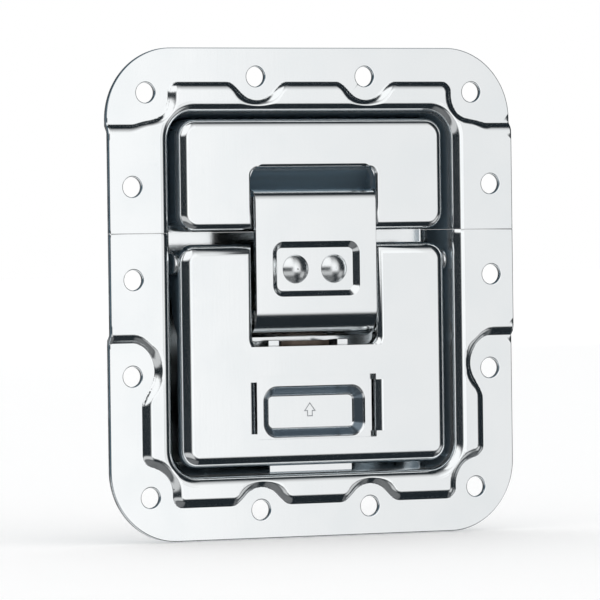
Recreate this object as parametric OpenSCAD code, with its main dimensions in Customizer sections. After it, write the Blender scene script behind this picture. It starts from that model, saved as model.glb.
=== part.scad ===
// Recessed case latch: a two-part pressed steel dish with a draw hook, a lever and a sliding release.
// The working frame of every module is x to the right, y up the panel and z out of the panel,
// with z = 0 on the panel. stand() turns that frame upright, so that the latch faces -Y.

/* [Plate] */
// Width of the whole plate
plate_w = 103; // [101:0.5:106]
// Radius of the plate's outer corners
plate_corner_r = 16.4; // [13:0.1:18]
// Height of the upper half, which goes on the lid
lid_h = 42; // [41:0.5:43]
// Thickness of the pressed sheet
sheet_t = 1.2; // [1:0.05:1.3]
// Gap between the two halves
split_gap = 0.3; // [0.2:0.05:0.4]

/* [Fixing holes] */
// Diameter of the fixing holes
hole_d = 4.6; // [4:0.1:5]
// Corner holes, in from the side edges
corner_inset_x = 9.9; // [9.4:0.1:10.2]
// Corner holes, in from the end edges
corner_inset_y = 10.2; // [9.8:0.1:10.5]
// Distance between the two holes at each end
end_pitch = 27.8; // [26:0.1:30]
// End holes, in from the end edges
end_inset = 6.6; // [6.2:0.1:6.8]
// Side holes, in from the side edges
side_inset = 5.8; // [5.5:0.1:6]
// Seam holes, above and below the split
seam_reach = 10.5; // [9:0.1:12]
// Low side holes, below the split
low_side_drop = 32.3; // [31:0.1:33]

/* [Raised rim] */
// How far the rim stands above the fixing pads
step_h = 1.2; // [1:0.05:1.3]
// Width of the slope between pad and rim
step_run = 1.5; // [1.2:0.05:1.7]
// Low border along the sides
border_x = 7.9; // [7.6:0.1:8.2]
// Low border along the ends
border_y = 7.7; // [7.4:0.1:8]
// Reach of the raised seam band on either side of the split
band_reach = 24.7; // [24.2:0.1:25]
// Foot radius of the scallops at the end holes
scallop_r = 5.3; // [5:0.1:5.5]
// Foot radius of the corner and side pads
pad_r = 6.4; // [6.1:0.1:6.6]

/* [Dish] */
// Border between the plate's side edge and the dish wall
dish_border_x = 15.5; // [15.2:0.1:15.8]
// Border between the plate's end edge and the dish wall
dish_border_y = 14.8; // [14.5:0.1:15]
// Depth of the dish behind the panel
dish_depth = 10; // [9.8:0.1:11]
// Radius of the dish's corners, at the wall
dish_corner_r = 6; // [5:0.1:7]
// Rounding at the rim
dish_edge_r = 1.8; // [1.5:0.1:2]

/* [Keeper] */
// Gap between the keeper boss and the dish's side walls
moat = 2.3; // [2:0.1:2.6]
// Gap between the keeper boss and the dish's end wall
moat_top = 1.4; // [1.3:0.1:1.6]
// Radius of the boss's corners
boss_corner_r = 4.2; // [4:0.1:4.6]
// Rounding of the boss's edges
boss_edge_r = 2.1; // [1.8:0.1:2.3]
// Height of the boss's face above the panel
boss_face = 2.3; // [2.1:0.05:2.4]
// Side gap between the hook and the keeper's channel
channel_gap = 0.5; // [0.4:0.05:0.8]
// Top of the trough, above the split
trough_top = 15.6; // [14.5:0.1:16]

/* [Lever] */
// Gap between the lever's sides and the dish walls
lever_side_gap = 2.1; // [1.9:0.1:2.4]
// Height of the lever's face above the panel
lever_face = 2.6; // [2.5:0.05:2.8]
// Top edge of the lever, below the split
lever_drop = 2.7; // [2.4:0.1:3]
// Gap between the lever's foot and the dish's end wall
lever_foot_gap = 1.7; // [1.5:0.1:2]
// Roll radius of the lever's edges
lever_roll = 2; // [1.7:0.1:2.2]
// Gap between the hook's rolled foot and the end of the lever's notch
notch_foot_gap = 1.9; // [1.7:0.1:2.2]
// Pivot, below the split
pivot_drop = 7; // [6.8:0.05:7.2]
// Pivot, behind the panel
pivot_depth = 1.6; // [1.5:0.05:1.8]
// Diameter of the pivot pins
pivot_d = 4; // [3.6:0.1:4.2]

/* [Hook] */
// Width of the hook
hook_w = 30.8; // [30:0.1:31.2]
// Height of the hook's face above the panel
hook_face = 3.1; // [3:0.05:3.3]
// Hook pin, below the lever pivot
hook_arm = 12.4; // [12.2:0.05:12.6]
// Distance from the hook pin forward to the hook's face, and down to its foot
hook_roll = 4.8; // [4.6:0.05:4.9]
// Reach of the hook's lip above the split
lip_reach = 9.6; // [9.4:0.05:9.8]
// Length of the hook's lip below its face
lip_drop = 4; // [3.6:0.1:4.2]
// Diameter of the hook pin
hook_pin_d = 3.1; // [2.8:0.1:3.2]
// Distance between the two hook rivets
rivet_pitch = 9.8; // [9:0.1:10.4]
// Diameter of a hook rivet's head
rivet_head_d = 6.7; // [6.2:0.1:7]

/* [Release slide] */
// Width of the window in the lever
window_w = 30.2; // [29.8:0.1:30.6]
// Height of the window in the lever
window_h = 14.5; // [14.2:0.1:15]
// Bridge between the notch and the window
bridge_h = 6.8; // [6.6:0.1:7.4]
// Gap between the window and the lever's foot
window_foot = 6.1; // [5.9:0.1:6.3]
// Thickness of the slide
slide_t = 1; // [0.9:0.05:1.1]
// Width of the finger cup at its brim
cup_w = 26.2; // [25.6:0.1:26.6]
// Height of the finger cup at its brim
cup_h = 12; // [11.6:0.1:12.2]
// Depth of the finger cup
cup_depth = 2.3; // [2.1:0.05:2.4]
// Upward travel of the slide
slide_travel = 3; // [2.5:0.1:3]
// Width of the locking tongue
tongue_w = 21.2; // [20:0.1:22]

/* [Hidden] */
$fn = 48;

// Colours
zinc = [0.78, 0.80, 0.82];
bright_zinc = [0.86, 0.87, 0.88];
spring_brown = [0.36, 0.30, 0.26];

// Steps in each rounded edge
arc_steps = 5;
// Rounding at the foot and the brim of a pressed wall
press_r = 0.4;
// Overlap that makes cuts and unions clean
over = 1;
// Running gap between a pin and its bore
run_gap = 0.05;
// Clear gap between moving sheets
clear = 0.3;

// The notch is as deep as the hook needs, and the plate as high as the lid half and the lever's stack
notch_depth = pivot_drop + hook_arm + hook_roll - lever_drop + notch_foot_gap;
lever_h = notch_depth + bridge_h + window_h + window_foot;
plate_h = lid_h + lever_drop + lever_h + lever_foot_gap + dish_border_y;

// Plate
half_w = plate_w / 2;
half_h = plate_h / 2;
split_y = half_h - lid_h;
lid_edge = split_y + split_gap / 2;
case_edge = split_y - split_gap / 2;
rim_face = sheet_t + step_h;
// The step's back face lies this far inside its front face, so that the sheet keeps its thickness
step_back = sheet_t * tan(atan(step_h / step_run) / 2);

// Fixing holes, as [x, y], all in pairs across the middle
corner_hole = [half_w - corner_inset_x, half_h - corner_inset_y];
end_hole = [end_pitch / 2, half_h - end_inset];
side_x = half_w - side_inset;
side_hole_y = split_y - low_side_drop;
pair_holes = [corner_hole, [corner_hole.x, -corner_hole.y], end_hole, [end_hole.x, -end_hole.y],
              [side_x, split_y + seam_reach], [side_x, split_y - seam_reach], [side_x, side_hole_y]];

// Pads, each a little off its hole
corner_pad_shift = [1, -0.7];
side_pad_shift = 1.1;
corner_pad = corner_hole + corner_pad_shift;
side_pad = [side_x + side_pad_shift, split_y - band_reach - pad_r];

// Dish
dish_half = [half_w - dish_border_x, half_h - dish_border_y];
floor_back = -dish_depth;
floor_z = floor_back + sheet_t;
// The floor's rounding ends before the boss begins
floor_margin = 0.2;
floor_edge_r = min(moat, moat_top) - floor_margin;

// Keeper boss
boss_half = [dish_half.x - moat, (dish_half.y - moat_top - lid_edge) / 2];
boss_y = lid_edge + boss_half.y;
hook_gap = 0.4;
saddle_z = hook_face - sheet_t - hook_gap;
ridge_y = split_y + lip_reach - sheet_t - hook_gap;
lip_tip = hook_face - lip_drop;
lip_room = 0.8;
trough_z = lip_tip - lip_room;
trough_foot = 1.2;
trough_brim = 1;
channel_half = hook_w / 2 + channel_gap;
channel_edge = 0.7;
// Plan corners of the brim, and of the trough inside it
brim_corner_r = 1.5;
trough_corner_r = 3.8;

// Lever
lever_top = split_y - lever_drop;
lever_foot = -dish_half.y + lever_foot_gap;
lever_half = [dish_half.x - lever_side_gap, lever_h / 2];
lever_y = (lever_top + lever_foot) / 2;
lever_back = lever_face - sheet_t;
lever_edge = 3;
lever_rim = lever_face - lever_edge;
lever_corner_r = 4;
pivot = [split_y - pivot_drop, -pivot_depth];
ear_wall = 2.2;
ear_r = pivot_d / 2 + ear_wall;
ear_lap = 0.8;
ear_taper = 13.4;
ear_end = 15.9;
ear_x = lever_half.x - sheet_t;

// Notch and hook
notch_gap = 0.35;
notch_half = hook_w / 2 + notch_gap;
notch_y = lever_top - notch_depth;
notch_roll = 1.6;
notch_break = 0.1;
notch_corner_r = 1.8;
pin_ear_wall = 1.6;
hook_axis = [pivot.x - hook_arm, hook_face - hook_roll];
hook_top = split_y + lip_reach;
lip_roll = 1.6;
// The foot bends in a wider curve than a circle about the pin
hook_bend = 6.2;
bend_at = [hook_axis.x - hook_roll + hook_bend, hook_face - hook_bend];
roll_end = 190;
pad_half = [9.6, 4.8];
pad_run = 1.6;
pad_depth = 1;
pad_corner_r = 1.2;
pad_rise = 10.8;
pad_y = hook_axis.x + pad_rise;
pad_floor = hook_face - pad_depth;
strap_front = pad_floor - sheet_t;
barrel_r = strap_front - hook_axis.y;
strap_t = barrel_r - hook_pin_d / 2 - run_gap;
barrel_half = 6.1;
strap_pad = [8, 5.4];
pin_head_t = 0.8;
pin_head_d = hook_pin_d + 2;
pivot_head_d = pivot_d + 1;

// Release slide
window_y = lever_foot + window_foot;
slide_front = lever_back - clear;
slide_back = slide_front - slide_t;
slide_gap = 0.35;
slide_half = window_w / 2 - slide_gap;
// The slide leaves room for its travel under the notch wall, and still fills the window at its top
spring_room = 0.9;
spring_half = 12;
spring_t = 0.4;
slide_top = notch_y - sheet_t - slide_travel - spring_room;
slide_lap = 1;
slide_foot = window_y - slide_travel - slide_lap;
cup_run = 2.5;
cup_floor = slide_front - cup_depth;
cup_rise = 0.15;
cup_y = window_y + cup_h / 2 + cup_rise;
cup_corner_r = 1;
cup_wall = 0.8 * slide_t;
cup_half = [cup_w / 2 - cup_run, cup_h / 2 - cup_run];
tongue_front = cup_floor;
tongue_bite = 1;
tongue_tip = -dish_half.y - tongue_bite;
slot_gap = 0.4;
tongue_drop = [0.4, 2.2];
retainer_front = cup_floor - slide_t - clear;
retainer_t = 0.8;
flap_bend = 2;
flap_inset = 1.35;
flap_half = window_h / 2 - flap_inset;
flap_y = window_y + window_h / 2;
stake_half = 2.2;
stake_gap = 0.1;
stake_head = 0.4;
retainer_lap = [4, 0.6];

// Pieces on the dish floor
bracket_t = 1.4;
// The brackets stand clear of the lever's rounded corners, and their legs of its swinging top edge
bracket_gap = 3;
leg_angle = -81;
leg_clear = 0.3;
bracket_face = ear_x - bracket_gap;
bracket_ear_r = 2.6;
tail_r = 1.45;
foot_half = 5;
foot_reach = 10;
foot_drop = 2;
foot_y = pivot.x - foot_drop;
bracket_rivet_in = 6.6;
bracket_rivet_x = bracket_face - bracket_rivet_in;
bracket_rivet_y = 2.6;
stop_t = 1.2;
stop_x = 7.4;
stop_ear_t = 2.8;
stop_lean = 0.4;
stop_nose = 2.6;
stop_root = 4.6;
stop_front = -1.8;
stop_gap = 0.6;
stop_room = 10.4;
stop_top = hook_axis.x - hook_roll - stop_gap;
stop_foot = -dish_half.y + stop_room;
stop_len = stop_top - stop_foot;
leaf_t = 0.6;
leaf_half = 6.1;
leaf_drop = 1.5;
leaf_flat = 8;
leaf_lead = [2, 0.2];
stop_rivet_x = 3;
stop_rivet_rise = 4;
stop_rivet_y = stop_foot + stop_rivet_rise;

// Rivet heads and tails
hook_rivet_h = 1.3;
hook_tail_d = 4.8;
hook_tail_h = 0.6;
floor_rivet_d = 4.6;
bracket_rivet_h = 1.1;
stop_rivet_h = 0.9;
flush_tail = 0.1;

// Points along an arc about c, from angle a to angle b
function arc(c, r, a, b) = [for (i = [0:arc_steps]) c + r * [cos(a + (b - a) * i / arc_steps),
                                                             sin(a + (b - a) * i / arc_steps)]];

// Edge profiles are lists of [outset, z] from the bottom up. A pressed wall slopes between two small
// roundings; a dish wall stands upright between two larger ones; a rolled edge turns in to a face.
function pressed_wall(run, low, high) =
    let (rise = high - low, bend = 4 * press_r - rise,
         a = 2 * atan((run - sqrt(run * run - bend * rise)) / bend))
    concat(arc([0, low + press_r], press_r, -90, a - 90), arc([run, high - press_r], press_r, a + 90, 90));
function dish_wall(floor_r, low, brim_r, high) =
    concat(arc([-floor_r, low + floor_r], floor_r, -90, 0), arc([brim_r, high - brim_r], brim_r, 180, 90));
function rolled_edge(r, low, high) = concat([[0, low]], arc([-r, high - r], r, 0, 90));
function flared_edge(r, low, high) = concat([[0, low]], arc([r, high - r], r, 180, 90));
function raised(edge, z) = concat(edge, [[edge[len(edge) - 1][0], z]]);

// Turns the working frame upright
module stand() {
    rotate([90, 0, 0]) children();
}

// Both sides of the latch
module both_sides() {
    for (s = [0, 1]) mirror([s, 0, 0]) children();
}

// A [y, z] outline drawn out along x
module along_x(from, to) {
    translate([from, 0, 0]) rotate([90, 0, 90]) linear_extrude(to - from) children();
}

// An [x, z] outline drawn out along y
module along_y(from, to) {
    translate([0, to, 0]) rotate([90, 0, 0]) linear_extrude(to - from) children();
}

// A round-cornered block whose sides follow an edge profile, round the whole of its outline
module edged_block(half, corner_r, edge) {
    n = len(edge) - 1;
    core = half - [corner_r, corner_r];
    along_y(-core.y, core.y) mirrored_profile(half.x, edge);
    along_x(-core.x, core.x) mirrored_profile(half.y, edge);
    for (turn = [0:3]) {
        at = [turn == 0 || turn == 3 ? core.x : -core.x, turn < 2 ? core.y : -core.y];
        translate([at.x, at.y, 0]) rotate(90 * turn) rotate_extrude(angle = 90)
            polygon(concat([[0, edge[n][1]], [0, edge[0][1]]], [for (e = edge) [corner_r + e[0], e[1]]]));
    }
}

module mirrored_profile(reach, edge) {
    n = len(edge) - 1;
    polygon(concat([for (e = edge) [reach + e[0], e[1]]],
                   [for (i = [n:-1:0]) [-reach - edge[i][0], edge[i][1]]]));
}

// The plate's flat outline
module plate_outline() {
    square([plate_w, plate_h - 2 * plate_corner_r], center = true);
    square([plate_w - 2 * plate_corner_r, plate_h], center = true);
    for (x = [-1, 1], y = [-1, 1])
        translate([x * (half_w - plate_corner_r), y * (half_h - plate_corner_r)])
            circle(plate_corner_r, $fn = 96);
}

// A sloped ridge outline between two feet, from a base up to a top
module ridge_outline(low, high, inset, base, top) {
    polygon([[low + inset, base - over], [low + inset, base], [low + inset + step_run, top],
             [high - inset - step_run, top], [high - inset, base], [high - inset, base - over]]);
}

// Room for a round pad, wider at the top by the slope
module pad_room(at, r, base, top) {
    translate([at.x, at.y, 0]) rotate_extrude($fn = 64)
        polygon([[0, base - 2 * over], [r, base - 2 * over], [r, base], [r + step_run, top],
                 [r + step_run, top + over], [0, top + over]]);
}

// A sloped bank beyond a foot line
module bank_outline(foot, base, top) {
    polygon([[foot, base - 2 * over], [foot, base], [foot - step_run, top], [foot - step_run, top + over],
             [half_h + over, top + over], [half_h + over, base - 2 * over]]);
}

// The raised rim and seam band, less the sunk pads round the fixing holes
module raised_rim(inset, base) {
    top = base + step_h;
    side = half_w - border_x;
    end = half_h - border_y;
    difference() {
        union() {
            along_x(-half_w - over, half_w + over)
                ridge_outline(split_y - band_reach, split_y + band_reach, inset, base, top);
            intersection() {
                along_x(-half_w, half_w) ridge_outline(-end, end, inset, base, top);
                along_y(-half_h, half_h) ridge_outline(-side, side, inset, base, top);
            }
        }
        both_sides() {
            for (y = [-1, 1]) {
                pad_room([end_hole.x, y * end_hole.y], scallop_r + inset, base, top);
                pad_room([corner_pad.x, y * corner_pad.y], pad_r + inset, base, top);
            }
            pad_room(side_pad, pad_r + inset, base, top);
            for (turn = [0, 1]) mirror([0, turn, 0]) {
                along_y(corner_pad.y, half_h + over) bank_outline(corner_pad.x - pad_r - inset, base, top);
                along_x(corner_pad.x, half_w + over) bank_outline(corner_pad.y - pad_r - inset, base, top);
            }
        }
    }
}

// The whole pressed plate with its dish, before it is parted in two
module pressed_plate() {
    difference() {
        union() {
            difference() {
                union() {
                    linear_extrude(sheet_t) plate_outline();
                    intersection() {
                        raised_rim(0, sheet_t);
                        translate([0, 0, sheet_t / 2]) linear_extrude(rim_face) plate_outline();
                    }
                }
                raised_rim(step_back, 0);
            }
            edged_block(dish_half + [sheet_t, sheet_t], dish_corner_r + sheet_t,
                        raised(arc([-floor_edge_r - sheet_t, floor_back + floor_edge_r + sheet_t],
                                   floor_edge_r + sheet_t, -90, 0), (sheet_t + rim_face) / 2));
        }
        edged_block(dish_half, dish_corner_r,
                    raised(dish_wall(floor_edge_r, floor_z, dish_edge_r, rim_face), rim_face + over));
        both_sides() for (hole = pair_holes)
            translate([hole.x, hole.y, -over]) cylinder(d = hole_d, h = rim_face + 2 * over);
    }
}

// Everything on one side of a level line
module level_half(from, to) {
    translate([-plate_w, from, -dish_depth - over])
        cube([2 * plate_w, to - from, dish_depth + rim_face + 2 * over]);
}

module lower_dish() {
    color(zinc) stand() difference() {
        intersection() {
            pressed_plate();
            level_half(-plate_h, case_edge);
        }
        translate([-tongue_w / 2 - slot_gap, -dish_half.y - dish_corner_r,
                   tongue_front - slide_t - slot_gap])
            cube([tongue_w + 2 * slot_gap, dish_corner_r + over, slide_t + 2 * slot_gap]);
        both_sides() for (y = [-1, 1])
            translate([bracket_rivet_x, foot_y + y * bracket_rivet_y, floor_back - over])
                cylinder(r = tail_r, h = sheet_t + 2 * over);
        both_sides() translate([stop_rivet_x, stop_rivet_y, floor_back - over])
            cylinder(r = tail_r, h = sheet_t + 2 * over);
    }
}

// Outline of the trough: upright at the ridge that the lip draws on, then rising in a wide curve to its brim
module trough_outline(grow) {
    foot = [ridge_y + trough_foot, trough_z];
    brim = [split_y + trough_top, boss_face];
    climb = brim - foot;
    a = 2 * atan(climb.y / climb.x);
    brim_r = max(trough_brim - grow, over / 10);
    sweep_r = climb.x / sin(a) - trough_brim + grow;
    polygon(concat([[brim.x + grow, boss_face + over], [ridge_y - grow, boss_face + over]],
                   arc(foot + [0, trough_foot], trough_foot + grow, 180, 270),
                   arc(foot + [0, sweep_r - grow], sweep_r, -90, a - 90),
                   arc(brim - [0, trough_brim], brim_r, a + 90, 90)));
}

// Channel that the hook lies in, with the trough for its lip, grown by the sheet for its underside
module hook_channel(grow) {
    half = channel_half + grow;
    low = lid_edge - over - 2 * grow;
    top = split_y + trough_top + grow + over / 10;
    plan = [half, (top - low) / 2];
    translate([-half, low, saddle_z - grow])
        cube([2 * half, ridge_y + trough_foot / 2 - low, boss_face + grow]);
    intersection() {
        along_x(-half, half) trough_outline(grow);
        translate([0, top - plan.y, 0])
            edged_block(plan, trough_corner_r + grow,
                        [[0, trough_z - grow - over], [0, boss_face + 2 * over]]);
    }
}

// Rounded brim along the channel's two sides
module channel_brim() {
    low = lid_edge - 2 * over;
    reach = split_y + trough_top - 1.2 * trough_brim - low;
    translate([0, low + reach / 2, 0])
        edged_block([channel_half, reach / 2], brim_corner_r,
                    raised(flared_edge(channel_edge, boss_face - channel_edge, boss_face),
                           boss_face + over));
}

module upper_dish() {
    color(zinc) stand() difference() {
        union() {
            intersection() {
                pressed_plate();
                level_half(lid_edge, plate_h);
            }
            translate([0, boss_y, 0])
                edged_block(boss_half, boss_corner_r,
                            rolled_edge(boss_edge_r, floor_back + sheet_t / 2, boss_face));
        }
        difference() {
            translate([0, boss_y, 0])
                edged_block(boss_half - [sheet_t, sheet_t], boss_corner_r - sheet_t,
                            rolled_edge(boss_edge_r - sheet_t, floor_back - over, boss_face - sheet_t));
            hook_channel(sheet_t);
        }
        hook_channel(0);
        channel_brim();
    }
}

// Room for the hook in the lever's notch, rolled at its sides and cut plain at its foot
module notch_room(grow, low) {
    room = [notch_half + grow, notch_depth + grow];
    foot = notch_y - grow;
    intersection() {
        translate([0, foot + room.y, 0])
            edged_block(room, notch_corner_r,
                        raised(flared_edge(notch_roll - grow, low, lever_face - grow), lever_face + over));
        level_half(foot - notch_break, half_h);
    }
}

// The lever's rolled outline, full or shrunk by the sheet, from a low plane up to its face
module lever_form(shrink, low) {
    translate([0, lever_y, 0])
        edged_block(lever_half - [shrink, shrink], lever_corner_r - shrink,
                    rolled_edge(lever_roll - shrink, low, lever_face - shrink));
}

module lever() {
    color(bright_zinc) stand() difference() {
        union() {
            difference() {
                lever_form(0, lever_rim);
                difference() {
                    lever_form(sheet_t, lever_rim - over);
                    notch_room(sheet_t, lever_rim - 2 * over);
                }
                notch_room(0, lever_rim - 2 * over);
            }
            both_sides() {
                intersection() {
                    along_x(ear_x, lever_half.x) pivot_ear_outline();
                    lever_form(0, pivot.y - ear_r - over);
                }
                along_x(notch_half, notch_half + sheet_t) hook_ear_outline();
                window_flap();
            }
        }
        translate([-window_w / 2, window_y, lever_back - over])
            cube([window_w, window_h, sheet_t + 2 * over]);
        along_y(flap_y - flap_half, flap_y + flap_half)
            mirrored_profile(window_w / 2, raised(flared_edge(flap_bend, lever_back - over, lever_face),
                                                  lever_face + over));
        along_x(-half_w, half_w) translate(pivot) circle(d = pivot_d + 2 * run_gap);
        along_x(-notch_half - 2 * sheet_t, notch_half + 2 * sheet_t)
            translate(hook_axis) circle(d = hook_pin_d + 2 * run_gap);
    }
}

// Side ear of the lever, round at the pivot and tapering down the edge
module pivot_ear_outline() {
    translate(pivot) circle(ear_r);
    polygon([[pivot.x, pivot.y - ear_r], [pivot.x - ear_taper, lever_rim - 2 * ear_lap],
             [pivot.x - ear_end, lever_rim], [pivot.x - ear_end, lever_rim + ear_lap],
             [pivot.x + ear_r, lever_rim + ear_lap], [pivot.x + ear_r, pivot.y]]);
}

// Ear beside the notch, round at the hook pin
module hook_ear_outline() {
    r = hook_pin_d / 2 + pin_ear_wall;
    translate(hook_axis) circle(r);
    translate(hook_axis - [r, 0]) square([2 * r, lever_rim - hook_axis.y + ear_lap]);
}

// Flap bent in beside the window, with a stake that holds the retainer
module window_flap() {
    translate([window_w / 2, flap_y - flap_half, retainer_front])
        cube([sheet_t, 2 * flap_half, (lever_back + lever_face) / 2 - retainer_front]);
    translate([window_w / 2, flap_y - stake_half, retainer_front - retainer_t - stake_head])
        cube([sheet_t, 2 * stake_half, retainer_t + 2 * stake_head]);
}

module hook_plate() {
    color(bright_zinc) stand() difference() {
        union() {
            along_x(-hook_w / 2, hook_w / 2) polygon(concat(
                [[hook_top, lip_tip]],
                arc([hook_top - lip_roll, hook_face - lip_roll], lip_roll, 0, 90),
                arc(bend_at, hook_bend, 90, roll_end),
                arc(bend_at, hook_bend - sheet_t, roll_end, 90),
                arc([hook_top - lip_roll, hook_face - lip_roll], lip_roll - sheet_t, 90, 0),
                [[hook_top - sheet_t, lip_tip]]));
            translate([0, pad_y, 0])
                edged_block(pad_half + [sheet_t, sheet_t] / 2, pad_corner_r + sheet_t / 2,
                            raised(pressed_wall(pad_run, strap_front, hook_face - sheet_t),
                                   hook_face - sheet_t / 2));
        }
        translate([0, pad_y, 0])
            edged_block(pad_half, pad_corner_r,
                        raised(pressed_wall(pad_run, pad_floor, hook_face), hook_face + over));
        both_sides() translate([rivet_pitch / 2, pad_y, strap_front - over])
            cylinder(r = tail_r, h = dish_depth);
    }
}

module hook_strap() {
    color(spring_brown) stand() difference() {
        union() {
            translate([-strap_pad.x, pad_y - strap_pad.y, strap_front - strap_t])
                cube([2 * strap_pad.x, 2 * strap_pad.y, strap_t]);
            translate([-barrel_half, hook_axis.x, strap_front - strap_t])
                cube([2 * barrel_half, pad_y - hook_axis.x, strap_t]);
            along_x(-barrel_half, barrel_half) translate(hook_axis) circle(barrel_r);
        }
        along_x(-strap_pad.x, strap_pad.x) translate(hook_axis) circle(d = hook_pin_d + 2 * run_gap);
        both_sides() translate([rivet_pitch / 2, pad_y, strap_front - strap_t - over])
            cylinder(r = tail_r, h = dish_depth);
    }
}

// A rivet from z = 0 up: a domed head over a shank, closed by a flat tail
module domed_rivet(head_d, head_h, shank, tail_d, tail_h) {
    dome_r = (head_d * head_d / 4 + head_h * head_h) / (2 * head_h);
    intersection() {
        translate([0, 0, head_h - dome_r]) sphere(dome_r, $fn = 64);
        cylinder(d = head_d, h = head_h);
    }
    translate([0, 0, -shank]) cylinder(r = tail_r, h = shank + head_h / 2);
    translate([0, 0, -shank - tail_h]) cylinder(d = tail_d, h = tail_h);
}

module hook_rivets() {
    color(bright_zinc) stand() both_sides() translate([rivet_pitch / 2, pad_y, pad_floor])
        domed_rivet(rivet_head_d, hook_rivet_h, sheet_t + strap_t, hook_tail_d, hook_tail_h);
}

module hook_pin() {
    reach = notch_half + sheet_t;
    color(bright_zinc) stand() {
        along_x(-reach - pin_head_t / 2, reach + pin_head_t / 2) translate(hook_axis) circle(d = hook_pin_d);
        both_sides() along_x(reach, reach + pin_head_t) translate(hook_axis) circle(d = pin_head_d);
    }
}

module release_slide() {
    color(zinc) stand() difference() {
        union() {
            translate([-slide_half, slide_foot, slide_back])
                cube([2 * slide_half, slide_top - slide_foot, slide_t]);
            translate([0, cup_y, 0])
                edged_block(cup_half + [cup_wall, cup_wall], cup_corner_r + cup_wall,
                            raised(pressed_wall(cup_run, cup_floor - slide_t, slide_back),
                                   slide_front - slide_t / 3));
            along_x(-tongue_w / 2, tongue_w / 2) tongue_outline();
        }
        translate([0, cup_y, 0])
            edged_block(cup_half, cup_corner_r,
                        raised(pressed_wall(cup_run, cup_floor, slide_front), slide_front + over));
        translate([-tongue_w / 2 - clear, slide_foot - over, slide_back - over])
            cube([tongue_w + 2 * clear, 2 * clear + over, slide_t + 2 * over]);
    }
}

// The tongue steps down from the slide and passes under the lever's foot
module tongue_outline() {
    low = slide_foot + tongue_drop[0];
    bend = slide_foot + tongue_drop[1];
    polygon([[bend + 1, slide_front], [bend, slide_front], [low, tongue_front], [tongue_tip, tongue_front],
             [tongue_tip, tongue_front - slide_t], [low + slot_gap, tongue_front - slide_t],
             [bend + slot_gap, slide_back], [bend + 1, slide_back]]);
}

module slide_retainer() {
    foot = window_y - retainer_lap.y;
    color(zinc) stand() difference() {
        translate([-window_w / 2 - retainer_lap.x, foot, retainer_front - retainer_t])
            cube([window_w + 2 * retainer_lap.x, notch_y - over - foot, retainer_t]);
        both_sides() translate([window_w / 2 - stake_gap, flap_y - stake_half - stake_gap,
                                retainer_front - retainer_t - over])
            cube([sheet_t + 2 * stake_gap, 2 * (stake_half + stake_gap), retainer_t + 2 * over]);
        both_sides() translate([stop_x - clear, stop_top - stop_root - clear,
                                retainer_front - retainer_t - over])
            cube([stop_ear_t + 2 * clear, 2 * stop_root, retainer_t + 2 * over]);
    }
}

// Bowed strip spring between the notch wall and the slide
module slide_spring() {
    low = slide_top + run_gap;
    rise = notch_y - sheet_t - run_gap - low;
    bow_r = (spring_half * spring_half + rise * rise) / (2 * rise);
    color(spring_brown) stand() intersection() {
        translate([0, low + rise - bow_r, retainer_front + clear]) difference() {
            cylinder(r = bow_r, h = slide_front - retainer_front - clear, $fn = 128);
            translate([0, 0, -over]) cylinder(r = bow_r - spring_t, h = dish_depth, $fn = 128);
        }
        translate([-spring_half, low, -dish_depth]) cube([2 * spring_half, rise + over, 2 * dish_depth]);
    }
}

// Foot on the dish floor and an ear for the pivot pin
module pivot_bracket() {
    difference() {
        union() {
            translate([bracket_face - foot_reach, foot_y - foot_half, floor_z])
                cube([foot_reach, 2 * foot_half, bracket_t]);
            along_x(bracket_face - bracket_t, bracket_face) {
                translate(pivot) circle(bracket_ear_r);
                polygon([pivot, pivot - [bracket_ear_r, 0], [pivot.x - foot_half, floor_z],
                         [pivot.x - leg_clear, floor_z],
                         pivot + bracket_ear_r * [cos(leg_angle), sin(leg_angle)]]);
            }
        }
        along_x(0, half_w) translate(pivot) circle(tail_r);
        for (y = [-1, 1]) translate([bracket_rivet_x, foot_y + y * bracket_rivet_y, floor_back])
            cylinder(r = tail_r, h = dish_depth);
    }
}

module pivot_bracket_left() {
    color(zinc) stand() mirror([1, 0, 0]) pivot_bracket();
}

module pivot_bracket_right() {
    color(zinc) stand() pivot_bracket();
}

// Shouldered pins: a head outside the lever's ear, a journal in it and a tail set in the bracket
module pivot_pins() {
    color(bright_zinc) stand() both_sides() {
        head = lever_half.x + run_gap;
        back = bracket_face - bracket_t;
        along_x(head, head + pin_head_t) translate(pivot) circle(d = pivot_head_d);
        along_x(bracket_face, head + pin_head_t / 2) translate(pivot) circle(d = pivot_d);
        along_x(back - pin_head_t / 2, bracket_face + pin_head_t / 2) translate(pivot) circle(tail_r);
        along_x(back - pin_head_t, back) translate(pivot) circle(d = pivot_d);
    }
}

module bracket_rivets() {
    color(bright_zinc) stand() both_sides() for (y = [-1, 1])
        translate([bracket_rivet_x, foot_y + y * bracket_rivet_y, floor_z + bracket_t])
            domed_rivet(floor_rivet_d, bracket_rivet_h, bracket_t + sheet_t, 2 * tail_r, flush_tail);
}

// Two upright ears under the hook's roll, joined by a foot on the dish floor
module stop_bracket() {
    reach = stop_x + stop_ear_t;
    color(bright_zinc) stand() difference() {
        union() {
            translate([-reach, stop_foot, floor_z])
                cube([2 * reach, stop_len - stop_root / 2, stop_t]);
            both_sides() along_x(stop_x, reach)
                polygon([[stop_top - stop_lean, floor_z], [stop_top, stop_front - stop_t],
                         [stop_top, stop_front], [stop_top - stop_nose, stop_front],
                         [stop_top - stop_root, floor_z + stop_t],
                         [stop_top - 2 * stop_root, floor_z + stop_t], [stop_top - 2 * stop_root, floor_z]]);
        }
        both_sides() translate([stop_rivet_x, stop_rivet_y, floor_back])
            cylinder(r = tail_r, h = dish_depth);
    }
}

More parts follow.
